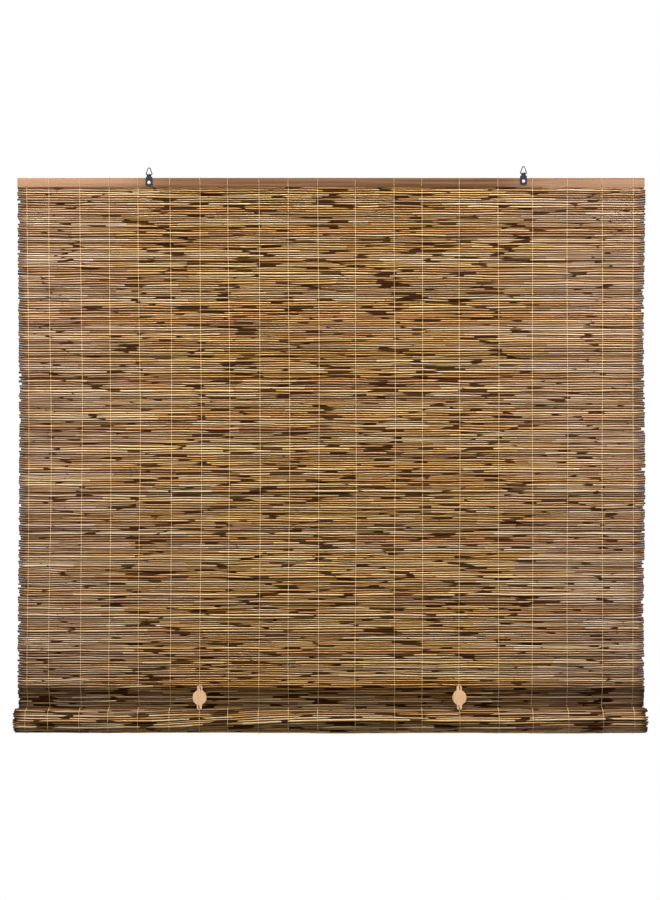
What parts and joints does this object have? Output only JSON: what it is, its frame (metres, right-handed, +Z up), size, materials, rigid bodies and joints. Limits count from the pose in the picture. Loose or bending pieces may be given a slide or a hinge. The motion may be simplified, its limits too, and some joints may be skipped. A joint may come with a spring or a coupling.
{
  "type": "bamboo roll up blind",
  "caption": "Wide reed roll-up blind on a wooden head batten, hung by wire rings, with its lower end rolled up and held by flat slotted hooks.",
  "frame": {"origin": "halfway along the blind, level with the place where the left ring bears on its hook, in the plane of the rings", "axes": "+X along the width, +Y towards the wall behind, +Z up; the front faces -Y"},
  "size_m": [1.206, 0.0517, 1.0848],
  "materials": {
    "reed": "glossy natural reed, with darker leaf sheaths",
    "batten_wood": "plain sanded wood",
    "string": "twisted cotton twine",
    "hook_wood": "smooth pale plywood",
    "hanger_black": "glossy black paint",
    "ring_wire": "dull steel wire",
    "screw_steel": "bright zinc"
  },
  "bodies": {
    "hanging_sheet": {"head_batten": "batten_wood", "hanger_plate_left": "hanger_black", "hanger_plate_right": "hanger_black", "hanger_screw_left": "screw_steel", "hanger_screw_right": "screw_steel", "reed_band_01": "reed", "reed_band_02": "reed", "reed_band_03": "reed", "reed_band_04": "reed", "reed_band_05": "reed", "reed_band_06": "reed", "reed_band_07": "reed", "reed_band_08": "reed", "reed_band_09": "reed", "reed_band_10": "reed", "reed_band_11": "reed", "reed_band_12": "reed", "reed_band_13": "reed", "reed_band_14": "reed", "reed_band_15": "reed", "warp_string_01": "string", "warp_string_02": "string", "warp_string_03": "string", "warp_string_04": "string", "warp_string_05": "string", "warp_string_06": "string", "warp_string_07": "string", "warp_string_08": "string", "warp_string_09": "string", "warp_string_10": "string", "warp_string_11": "string", "warp_string_12": "string", "warp_string_13": "string", "warp_string_14": "string", "warp_string_15": "string", "warp_string_16": "string", "warp_string_17": "string", "warp_string_18": "string", "warp_string_19": "string", "warp_string_20": "string"},
    "ring_left": {"hanger_ring_left": "ring_wire"},
    "ring_right": {"hanger_ring_right": "ring_wire"},
    "roll_carrier": {"slack_reeds": "reed", "slack_strings": "string", "roll_hook_left": "hook_wood", "roll_hook_right": "hook_wood"},
    "roll": {"bottom_roll": "reed", "bottom_batten": "batten_wood"}
  },
  "joints": [
    {"name": "ring_left_swing", "type": "hinge", "parent": "hanging_sheet", "child": "ring_left", "pos_m": [-0.348, 0, -0.0122], "axis": [1, 0, 0], "range_deg": [-90, 150]},
    {"name": "ring_right_swing", "type": "hinge", "parent": "hanging_sheet", "child": "ring_right", "pos_m": [0.368, 0, -0.0097], "axis": [1, 0, 0], "range_deg": [-90, 150]},
    {"name": "roll_lift", "type": "slide", "parent": "hanging_sheet", "child": "roll_carrier", "axis": [0, 0, 1], "range_m": [0, 0.90289], "deforming": ["reed_band_02", "reed_band_03", "reed_band_04", "reed_band_05", "reed_band_06", "reed_band_07", "reed_band_08", "reed_band_09", "reed_band_10", "reed_band_11", "reed_band_12", "reed_band_13", "reed_band_14", "reed_band_15", "warp_string_01", "warp_string_02", "warp_string_03", "warp_string_04", "warp_string_05", "warp_string_06", "warp_string_07", "warp_string_08", "warp_string_09", "warp_string_10", "warp_string_11", "warp_string_12", "warp_string_13", "warp_string_14", "warp_string_15", "warp_string_16", "warp_string_17", "warp_string_18", "warp_string_19", "warp_string_20"]},
    {"name": "roll_turn", "type": "hinge", "parent": "roll_carrier", "child": "roll", "pos_m": [0, 0.0033, -1.0545], "axis": [1, 0, 0], "range_deg": [-2161, 0], "deforming": ["slack_reeds", "slack_strings"]}
  ],
  "couplings": [
    {"joint": "roll_turn", "follows": "roll_lift", "rad_per_m": -41.754}
  ]
}
